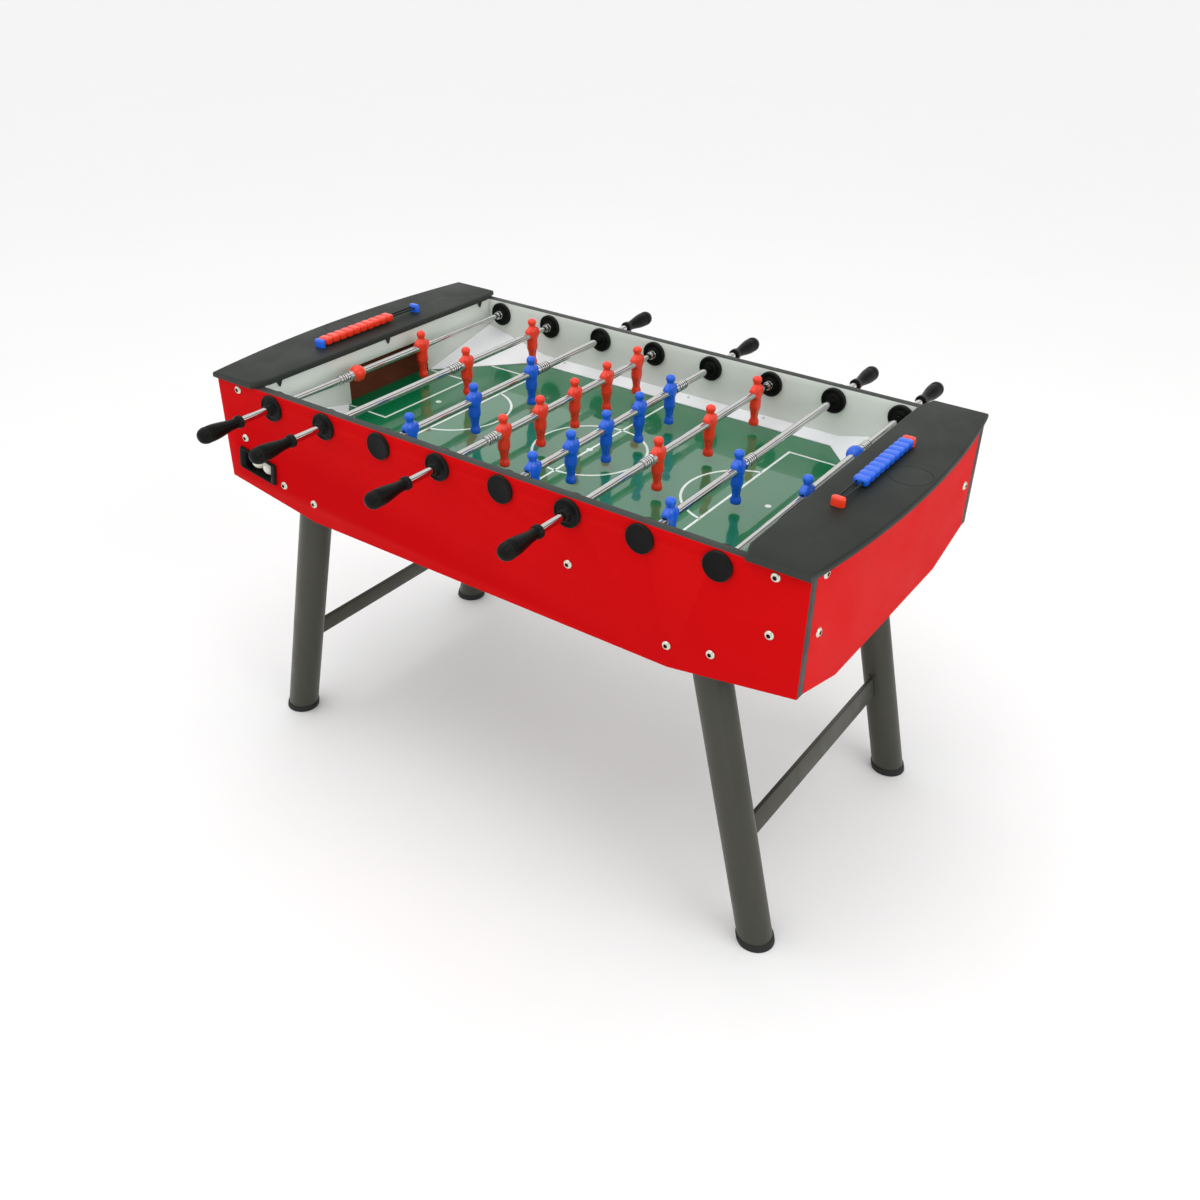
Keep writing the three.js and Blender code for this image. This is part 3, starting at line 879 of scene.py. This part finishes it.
def build_braces():
    z = (BRACE_LOW.z + BRACE_HIGH.z) / 2
    centre = Vector((FOOT.x - LEAN * z, 0, z))
    place = brace_place(centre)
    half_width, half_height = 5 * MM, 23 * MM
    saddle_half_width, saddle_half_height = 9 * MM, 26 * MM
    near, far = LEG_RADIUS + 3.2 * MM, LEG_RADIUS + 0.2 * MM
    outline = saddle_arc(near, half_width, -1) + saddle_arc(near, half_width, 1)[::-1]
    bar = softened(prism(outline, -half_height, half_height, place), 1.6 * MM, 3)
    saddles = []
    for side in (-1, 1):
        plate = saddle_arc(far, saddle_half_width, side) + saddle_arc(near, saddle_half_width, side)[::-1]
        saddle = prism(plate, -saddle_half_height, saddle_half_height, place)
        saddles.append(softened(saddle, 0.8 * MM, 2, 50))
    mesh = to_mesh("brace", merge(bar, *saddles), ["leg_paint"], smooth=40)
    piece("brace_right", mesh, "cabinet", replaces=["cross_brace_right"])
    piece("brace_left", mesh, "cabinet", HALF_TURN, ["cross_brace_left"])


# ---- end caps and score counters ----
CAP_END = 690 * MM
SCORE_X = (BEADS_LOW.x + BEADS_HIGH.x) / 2
SCORE_Z = (BEADS_LOW.z + BEADS_HIGH.z) / 2
RAIL_SPACING = 12 * MM
HOLDER_Y = 150 * MM
BEAD_COUNT = 10


def cap_outline(inset=0.0):
    """The cap seen from above: straight inside edge, clipped corners and a bowed outside edge."""
    inner, half, bulge = CAP_LOW.x + inset, CAP_HIGH.y - inset, CAP_HIGH.x - inset
    sagitta = CAP_HIGH.x - CAP_END
    radius = (half ** 2 + sagitta ** 2) / (2 * sagitta)
    reach = math.degrees(math.asin(half / radius))
    clip_x, clip_y = 13 * MM, 40 * MM
    points = [(inner, half - clip_y), (inner, clip_y - half), (inner + clip_x, -half)]
    return points + arc(bulge - radius, 0, radius, -reach, reach, 24) + [(inner + clip_x, half)]


def cap_shell():
    """Rounded along its upper rim, a little undercut below."""
    base = TOP + CLEARANCE
    round_radius = 5 * MM
    layers = [(1.2 * MM, base), (0, base + 1.2 * MM)]
    for step in range(6):
        angle = math.pi / 2 * step / 5
        inset = round_radius * (1 - math.cos(angle))
        layers.append((inset, CAP_TOP - round_radius * (1 - math.sin(angle))))
    return swept_rings([[Vector((x, y, z)) for x, y in cap_outline(inset)] for inset, z in layers])


def cap_tab(y):
    """A tab that narrows to a rounded point below the cap's inside edge."""
    base, shoulder = TOP + MM, CAP_LOW.z + MM
    half_base, half_tip = 7 * MM, 1.2 * MM
    points = [
        (y - half_base, base), (y - half_tip, shoulder), (y, CAP_LOW.z), (y + half_tip, shoulder),
        (y + half_base, base),
    ]
    return softened(prism(points, CAP_LOW.x, CAP_LOW.x + 3.5 * MM, yz), 0.4 * MM)


def dish(x, y, radius, depth):
    """A lens to carve a shallow dish out of the cap."""
    ball = (radius ** 2 + depth ** 2) / (2 * depth)
    angles = [math.radians(degrees) for degrees in range(170, 0, -10)]
    profile = [(ball * math.sin(a), ball * math.cos(a)) for a in angles]
    lens = lathe([(0, -ball), *profile, (0, ball)], 64)
    return moved(lens, at(x, y, CAP_TOP - depth + ball))


def ring_groove(x, y, radius, width, depth):
    top = CAP_TOP + 2 * MM
    low = CAP_TOP - depth
    half = width / 2
    profile = [
        (radius - half, top),
        (radius - half / 3, low),
        (radius + half / 3, low),
        (radius + half, top),
    ]
    return moved(lathe(profile, 64, closed=True), at(x, y, 0) @ Matrix.Rotation(math.pi / 2, 4, "X"))


def cap_cuts():
    """Two shallow dishes and a round groove in the cap's top."""
    dishes = [dish(x=634 * MM, y=side * 276 * MM, radius=30 * MM, depth=0.5 * MM) for side in (-1, 1)]
    groove = ring_groove(x=676 * MM, y=30 * MM, radius=38.5 * MM, width=2.4 * MM, depth=0.6 * MM)
    return merge(*dishes, groove)


def holder_block():
    """A block the two score rails end in, rounded over its top."""
    half_x, half_y = 13 * MM, 7 * MM
    low, high = CAP_TOP - MM, CAP_HIGH.z
    layers = [
        (0, low), (0, high - 3.5 * MM), (0.9 * MM, high - 1.4 * MM), (2.6 * MM, high - 0.3 * MM),
        (4 * MM, high),
    ]
    rings = []
    for inset, z in layers:
        outline = rounded_rectangle(half_x - inset, half_y - inset, 6.9 * MM - inset)
        rings.append([Vector((x, y, z)) for x, y in outline])
    return swept_rings(rings)


def bead(y):
    """One scalloped counter, its waist at both ends."""
    half_length = (BEADS_HIGH.y - BEADS_LOW.y) / (2 * BEAD_COUNT)
    half_x = (BEADS_HIGH.x - BEADS_LOW.x) / 2
    half_z = (BEADS_HIGH.z - BEADS_LOW.z) / 2
    rings = []
    for step in range(9):
        t = 2 * step / 8 - 1
        swell = math.sqrt(max(0, 1 - abs(t) ** 3.2))
        width, height = half_x * (0.70 + 0.30 * swell), half_z * (0.66 + 0.34 * swell)
        outline = rounded_rectangle(width, height, 4 * MM)
        rings.append([Vector((x, y + t * half_length * 0.985, z)) for x, z in outline])
    return swept_rings(rings)


def rail_bar(x, radius, half_length):
    profile = [(0, -half_length), (radius, -half_length), (radius, half_length), (0, half_length)]
    return moved(lathe(profile, 16), at(x, 0, 0))


def build_caps():
    names = ["cap_plastic"]
    shell = carved(to_mesh("cap", cap_shell(), names), cap_cuts(), smooth=25)
    tab_spacing = 320 * MM
    tabs = to_mesh("cap_tabs", merge(*[cap_tab(i * tab_spacing) for i in (-1, 0, 1)]), names)
    rails = [rail_bar(side * RAIL_SPACING / 2, 2 * MM, HOLDER_Y) for side in (-1, 1)]
    pair = moved(merge(*rails), at(SCORE_X, 0, SCORE_Z))
    rail_mesh = to_mesh("score_rails", pair, ["black_plastic"])
    for side, turn, colour in (("right", Matrix.Identity(4), "red"), ("left", HALF_TURN, "blue")):
        piece(f"{side}_cap", shell, "cabinet", turn, [f"end_cap_{side}"])
        piece(f"{side}_cap_tabs", tabs, "cabinet", turn)
        piece(f"{side}_score_rails", rail_mesh, "cabinet", turn)
        block = to_mesh(f"{side}_holder", holder_block(), [f"{colour}_plastic"])
        for y, end in ((-HOLDER_Y, "a"), (HOLDER_Y, "b")):
            place = turn @ at(SCORE_X, y, 0)
            piece(f"{side}_rail_holder_{end}", block, "cabinet", place)


def build_beads():
    pitch = (BEADS_HIGH.y - BEADS_LOW.y) / BEAD_COUNT
    start = BEADS_LOW.y + pitch / 2
    row = merge(*[bead(start + i * pitch) for i in range(BEAD_COUNT)])
    holes = merge(*[rail_bar(side * RAIL_SPACING / 2, 2.4 * MM, 0.3) for side in (-1, 1)])
    for side, colour, turn in (("right", "blue", Matrix.Identity(4)), ("left", "red", HALF_TURN)):
        mesh = carved(to_mesh("bead_row", row.copy(), [f"{colour}_plastic"]), holes.copy(), smooth=50)
        place = turn @ at(SCORE_X, 0, SCORE_Z)
        node = f"score_beads_{side}"
        piece(f"{side}_beads", mesh, node, place, [node])
    row.free()
    holes.free()


# ---- rods: built round the Y axis with the handle at -Y and the men facing +X ----
TUBE_START = -485 * MM
HANDLE_START = -459 * MM
HANDLE_END = -562 * MM
STOP_BALL_Y = -138 * MM
STOP_BALL_RADIUS = 18 * MM
HALF_HUB = 16 * MM
BUMPER_LENGTH = 41 * MM
NECK_Y = HANDLE_START - 15 * MM
GRIP_Y = HANDLE_END + 30 * MM
NECK_RADIUS = 10.4 * MM
GRIP_RADIUS = 16.5 * MM
HUB_LENGTH = 10 * MM
SLEEVE_LENGTH = 10 * MM
FLANGE_THICK = 7.5 * MM
BEARING_IN = INNER_Y - CLEARANCE - FLANGE_THICK
BEARING_OUT = OUTER_Y + CLEARANCE + FLANGE_THICK

# Height above the rod, half width across the shoulders and half depth front to back.
FIGURE = (
    (-72.5, 8.2, 9.2), (-71.8, 9.4, 10.8), (-67.0, 10.2, 11.6), (-62.0, 9.8, 10.6), (-58.0, 8.6, 8.0),
    (-54.0, 8.4, 7.4), (-46.0, 9.8, 8.4), (-40.0, 10.8, 9.2), (-36.0, 12.6, 10.2), (-33.0, 14.4, 11.2),
    (-26.0, 14.8, 11.2), (-18.0, 14.2, 10.8), (-13.0, 13.4, 10.6), (-9.5, 14.2, 11.2),
    (-6.5, 16.8, 11.6), (-2.5, 18.8, 11.6), (3.0, 20.0, 11.6), (8.0, 21.0, 11.2), (12.0, 19.8, 10.4),
    (15.0, 16.4, 9.0), (17.6, 11.6, 7.8), (19.8, 7.8, 7.0), (22.2, 7.4, 7.2), (25.0, 9.0, 9.0),
    (29.0, 9.9, 10.2), (33.0, 9.4, 9.8), (36.6, 6.8, 7.4), (38.2, 2.6, 3.0),
)
FIGURE_POINTS = 28


def bell(value, centre, spread):
    return math.exp(-((value - centre) / spread) ** 2)


def figure_ring(height, half_width, half_depth):
    """One level of a man: grooves part the legs and mark off the arms."""
    legs = 0.36 * bell(height, -48, 14) if height > -66 else 0
    arms = 0.30 * bell(height, 8, 7)
    ring = []
    for angle in round_angles(FIGURE_POINTS):
        y = half_width * math.sin(angle)
        squareness = 0.85 - 0.35 * bell(height, 2, 10)
        x = half_depth * math.copysign(abs(math.cos(angle)) ** squareness, math.cos(angle))
        x *= 1 - legs * bell(y, 0, 2.8) - arms * bell(abs(y), 0.62 * half_width, 2.0)
        if x > 0:
            x += 1.3 * bell(height, 29, 2.5) * bell(y, 0, 2.4)
            x += 0.7 * bell(height, 9, 4) * bell(abs(y), 4.5, 3.5)
        ring.append(Vector((x, y, height)) * MM)
    return ring


def man_mesh(team):
    rings = [figure_ring(*level) for level in FIGURE]
    body = swept_rings([[Vector((0, 0, FIGURE[0][0] * MM))], *rings, [Vector((0, 0, 38.5 * MM))]])
    rough = to_mesh(f"{team}_man", body, [f"{team}_plastic"], smooth=180)
    smooth = subdivided(rough, 2)
    bore = lathe([(0, -0.03), (TUBE_RADIUS, -0.03), (TUBE_RADIUS, 0.03), (0, 0.03)], 40)
    return carved(smooth, bore, smooth=50)


def men_places(men):
    spacing, centre = LINEUPS[men]
    return [centre + (i - (men - 1) / 2) * spacing for i in range(men)]


def tube_mesh(end):
    edge = 0.4 * MM
    profile = [
        (TUBE_BORE, TUBE_START), (TUBE_RADIUS, TUBE_START), (TUBE_RADIUS, end - edge),
        (TUBE_RADIUS - edge, end), (TUBE_BORE, end),
    ]
    return to_mesh("tube", lathe(profile, 40, closed=True), ["chrome"])


def inner_rod_mesh():
    """A plain bar with a nut and a washer beside the closed bearing."""
    washer = BEARING_IN - CLEARANCE
    start, end, nut = -330 * MM, 376 * MM, 337 * MM
    profile = [
        (0, start), (INNER_RADIUS - MM, start), (INNER_RADIUS, start + MM), (INNER_RADIUS, nut),
        (8.4 * MM, nut + 0.4 * MM), (9 * MM, nut + MM), (9 * MM, nut + 5 * MM),
        (8.2 * MM, nut + 5.6 * MM), (7 * MM, nut + 6 * MM), (7 * MM, nut + 8 * MM),
        (9.6 * MM, nut + 8.4 * MM), (10 * MM, nut + 9 * MM), (10 * MM, washer), (INNER_RADIUS, washer),
        (INNER_RADIUS, end - MM), (INNER_RADIUS - MM, end), (0, end),
    ]
    return to_mesh("inner_rod", lathe(profile, 32), ["chrome"])


def coil(start, end, turns, radius, wire):
    """A round wire wound about the Y axis."""
    steps = turns * 28
    rings = []
    for i in range(steps + 1):
        angle = 2 * math.pi * turns * i / steps
        outward = Vector((math.cos(angle), 0, math.sin(angle)))
        centre = outward * radius + Vector((0, start + (end - start) * i / steps, 0))
        ring = []
        for around in round_angles(8):
            along = Vector((0, wire * math.sin(around), 0))
            ring.append(centre + outward * (wire * math.cos(around)) + along)
        rings.append(ring)
    return swept_rings(rings)


def spring_mesh(stop):
    """The shock absorber beside the first man: a sleeve, then a few open coils and an end ring."""
    wire = 1.5 * MM
    low = stop - BUMPER_LENGTH
    high = stop - SLEEVE_LENGTH
    winding = coil(low + 2.6 * wire, high - wire, 4, 9.4 * MM, wire)
    inside, outside, high = 8.2 * MM, 10.6 * MM, low + 2.4 * MM
    profile = [(inside, low), (outside, low), (outside, high), (inside, high)]
    end_ring = lathe(profile, 32, closed=True)
    return to_mesh("spring", merge(winding, end_ring), ["spring_steel"], smooth=50)


def sleeve_mesh(stop):
    low = stop - SLEEVE_LENGTH
    profile = [
        (8.2 * MM, low), (9.6 * MM, low), (10.6 * MM, low + MM), (10.8 * MM, stop - 2 * MM),
        (10 * MM, stop - 0.3 * MM), (8.2 * MM, stop - 0.3 * MM),
    ]
    return to_mesh("sleeve", lathe(profile, 32, closed=True), ["spring_steel"])


def stop_ball_mesh(team):
    radius = STOP_BALL_RADIUS
    start = math.asin(TUBE_RADIUS / radius)
    angles = [start + (math.pi - 2 * start) * i / 20 for i in range(21)]
    profile = [(radius * math.sin(a), STOP_BALL_Y - radius * math.cos(a)) for a in angles]
    return to_mesh(f"{team}_ball", lathe(profile, 40, closed=True), [f"{team}_plastic"])


def grip_radius(y):
    """The handle swells smoothly from its neck to its grip."""
    share = min(1, max(0, (NECK_Y - y) / (NECK_Y - GRIP_Y)))
    swell = share * share * (3 - 2 * share)
    return NECK_RADIUS + (GRIP_RADIUS - NECK_RADIUS) * swell


def grip_profile():
    """Collar, neck, swelling grip and three shallow bands."""
    profile = [
        (0, TUBE_START - 0.2 * MM), (8.3 * MM, TUBE_START - 0.2 * MM), (8.3 * MM, HANDLE_START),
        (12 * MM, HANDLE_START), (13 * MM, HANDLE_START - MM), (13 * MM, HANDLE_START - 9.5 * MM),
        (12.2 * MM, HANDLE_START - 11 * MM), (10.8 * MM, HANDLE_START - 12.5 * MM),
    ]
    steps = [NECK_Y + (GRIP_Y - NECK_Y) * i / 14 for i in range(15)]
    profile += [(grip_radius(y), y) for y in steps]
    bottom = GRIP_RADIUS - MM
    for band in range(3):
        y = GRIP_Y - (1 + 4 * band) * MM
        profile += [
            (GRIP_RADIUS, y),
            (bottom, y - 0.7 * MM),
            (bottom, y - 1.5 * MM),
            (GRIP_RADIUS, y - 2.2 * MM),
        ]
    return profile


def dome_profile():
    start = HANDLE_END + 18 * MM
    angles = [math.pi / 2 * i / 8 for i in range(8)]
    curve = [(16.3 * MM * math.cos(a) ** 0.8, start - 18 * MM * math.sin(a)) for a in angles]
    return [(0, start + 0.5 * MM), (15.6 * MM, start + 0.5 * MM), *curve, (0, HANDLE_END)]


def handle_mesh():
    last = grip_profile()[-1][1]
    body = lathe(grip_profile() + [(16.3 * MM, last - 2 * MM), (0, last - 2 * MM)], 48)
    dome = lathe(dome_profile(), 96, ribs=24, rib_depth=0.35 * MM)
    return to_mesh("handle", merge(body, dome), ["black_plastic"], smooth=30)


def flange_rim(face, back):
    """The rounded rim of a bearing flange, from its free face to the panel."""
    out = math.copysign(1, face - back)
    return [
        (FLANGE_RADIUS - 2.6 * MM, face),
        (FLANGE_RADIUS - MM, face - out * 0.6 * MM),
        (FLANGE_RADIUS, face - out * 1.8 * MM),
        (FLANGE_RADIUS, back),
    ]


def handle_bearing_mesh():
    bore = TUBE_RADIUS + 0.6 * MM
    out, inn = -BEARING_OUT, -BEARING_IN
    hub = out - HUB_LENGTH
    profile = [
        (bore, hub), (10.6 * MM, hub), (11.6 * MM, hub + MM), (13 * MM, out - 2.4 * MM),
        (15.2 * MM, out + 0.6 * MM), (17.5 * MM, out + 1.6 * MM), (21.5 * MM, out + 1.6 * MM),
        (23.4 * MM, out),
        *flange_rim(out, -OUTER_Y - CLEARANCE),
        (15 * MM, -OUTER_Y - CLEARANCE),
        (15 * MM, -INNER_Y + CLEARANCE),
        *flange_rim(inn, -INNER_Y + CLEARANCE)[::-1],
        (22 * MM, inn - 1.4 * MM), (16 * MM, inn - 1.4 * MM), (14.5 * MM, inn), (10 * MM, inn),
        (bore, inn - MM),
    ]
    return to_mesh("handle_bearing", lathe(profile, 48, closed=True), ["black_plastic"])


def capped_bearing_mesh():
    bore = INNER_RADIUS + 0.6 * MM
    profile = [
        (0, 377 * MM), (bore, 377 * MM), (bore, BEARING_IN + MM), (bore + MM, BEARING_IN),
        (14 * MM, BEARING_IN), (15.4 * MM, BEARING_IN + 1.4 * MM), (21.6 * MM, BEARING_IN + 1.4 * MM),
        (23 * MM, BEARING_IN),
        *flange_rim(BEARING_IN, INNER_Y - CLEARANCE),
        (15 * MM, INNER_Y - CLEARANCE),
        (15 * MM, OUTER_Y + CLEARANCE),
        *flange_rim(BEARING_OUT, OUTER_Y + CLEARANCE)[::-1],
        (22 * MM, BEARING_OUT - 0.5 * MM),
        (0, BEARING_OUT - 0.5 * MM),
    ]
    return to_mesh("capped_bearing", lathe(profile, 48), ["black_plastic"])


def build_rods():
    shared = {
        "inner": inner_rod_mesh(),
        "handle": handle_mesh(),
        "handle_bearing": handle_bearing_mesh(),
        "capped_bearing": capped_bearing_mesh(),
    }
    figures = {team: man_mesh(team) for team in ("red", "blue")}
    for k, (team, men) in enumerate(zip(TEAMS, MEN), 1):
        build_rod(k, team, men, shared, figures[team])


def build_rod(k, team, men, shared, figure):
    rod = at(rod_x(k), 0, ROD_Z)
    if team == "blue":
        rod = rod @ HALF_TURN
    name = f"rod_{k}"
    player_rod, inner_rod = f"player_rod_{k}", f"inner_rod_{k}"
    places = men_places(men)
    stop = places[0] - HALF_HUB
    if men == 1:
        stop = STOP_BALL_Y - STOP_BALL_RADIUS + 3 * MM
        piece(f"{name}_stop_ball", stop_ball_mesh(team), player_rod, rod)
    tube = tube_mesh(places[-1] + HALF_HUB + 2 * MM)
    piece(f"{name}_tube", tube, player_rod, rod, [f"{name}_players_{team}"])
    for number, y in enumerate(places, 1):
        piece(f"{name}_man_{number}", figure, player_rod, rod @ at(0, y, 0))
    piece(f"{name}_spring", spring_mesh(stop), player_rod, rod)
    piece(f"{name}_sleeve", sleeve_mesh(stop), player_rod, rod)
    piece(f"{name}_grip", shared["handle"], player_rod, rod, [f"{name}_handle"])
    piece(f"{name}_core", shared["inner"], inner_rod, rod, [f"{name}_inner_rod"])
    for kind in ("handle_bearing", "capped_bearing"):
        piece(f"{name}_{kind}_cup", shared[kind], "cabinet", rod, [f"{name}_{kind}"])


# ---- camera, lights and floor ----
def build_camera():
    azimuth, elevation, roll = (math.radians(a) for a in (34.779, 32.427, 0.9536))
    forward = Vector((
        -math.sin(azimuth) * math.cos(elevation),
        math.cos(azimuth) * math.cos(elevation),
        -math.sin(elevation),
    ))
    camera = new_object("camera", bpy.data.cameras.new("camera"))
    camera.location = (1.29049, -1.81133, 1.79836)
    camera.rotation_mode = "QUATERNION"
    camera.rotation_quaternion = forward.to_track_quat("-Z", "Y") @ Quaternion((0, 0, 1), roll)
    camera.data.sensor_width = 36
    camera.data.lens = 35.058
    bpy.context.scene.camera = camera


def softbox(name, direction, distance, size, radiance):
    """A large area light aimed at the table; radiance is what a mirror would see in it."""
    aim = Vector((0, 0, 0.7))
    light = bpy.data.lights.new(name, "AREA")
    light.shape = "RECTANGLE"
    light.size, light.size_y = size
    light.energy = radiance * math.pi * size[0] * size[1]
    lamp = new_object(name, light)
    offset = Vector(direction).normalized()
    lamp.location = aim + offset * distance
    lamp.rotation_mode = "QUATERNION"
    lamp.rotation_quaternion = (-offset).to_track_quat("-Z", "Y")


def add_dark_seam(tree, colour):
    """A dark seam high between two banks of light, for the rods to reflect as a thin line.

    It runs along Y and fades out towards the horizon, so the background stays plain.
    """
    seam_angle = math.radians(41.6)
    direction = add_node(tree, "ShaderNodeTexCoord").outputs["Generated"]
    offset = add_node(tree, "ShaderNodeVectorMath", operation="DOT_PRODUCT")
    offset.inputs[1].default_value = (math.cos(seam_angle), 0, -math.sin(seam_angle))
    tree.links.new(direction, offset.inputs[0])
    distance = add_node(tree, "ShaderNodeMath", operation="ABSOLUTE")
    tree.links.new(offset.outputs["Value"], distance.inputs[0])
    height = add_node(tree, "ShaderNodeSeparateXYZ")
    tree.links.new(direction, height.inputs["Vector"])
    brightness = add_node(tree, "ShaderNodeMath", operation="MAXIMUM")
    spans = ((distance.outputs["Value"], (0.10, 0.24, 0, 1)), (height.outputs["Z"], (0.28, 0.46, 1, 0)))
    for slot, (source, span) in enumerate(spans):
        tree.links.new(map_range(tree, source, span), brightness.inputs[slot])
    ramp = add_node(tree, "ShaderNodeValToRGB")
    ramp.color_ramp.elements[0].color = (0.16, 0.15, 0.14, 1)
    tree.links.new(brightness.outputs["Value"], ramp.inputs["Fac"])
    tree.links.new(ramp.outputs["Color"], colour)


def build_studio():
    floor_half, floor_depth = 30, 0.02
    world = bpy.data.worlds.new("studio")
    world.use_nodes = True
    background = world.node_tree.nodes["Background"]
    background.inputs["Strength"].default_value = 1.08
    add_dark_seam(world.node_tree, background.inputs["Color"])
    bpy.context.scene.world = world
    bpy.context.scene.view_settings.view_transform = "Standard"
    softbox("top_softbox", (-0.1, -0.3, 1), 3.2, (3, 2.4), 1.2)
    softbox("right_softbox", (1, -0.1, 0.6), 3.6, (2.4, 2), 1.7)
    outline = rectangle(-floor_half, floor_half, -floor_half, floor_half)
    floor = prism(outline, -floor_depth, 0, xy)
    new_object("floor", to_mesh("floor", floor, ["floor_paint"]))


build_camera()
build_studio()
build_side_panels()
build_end_panels()
build_goal_walls()
build_playfield()
build_markings()
build_ramps()
build_ramp_screws()
build_bolts()
build_outlet()
build_legs()
build_braces()
build_caps()
build_beads()
build_rods()
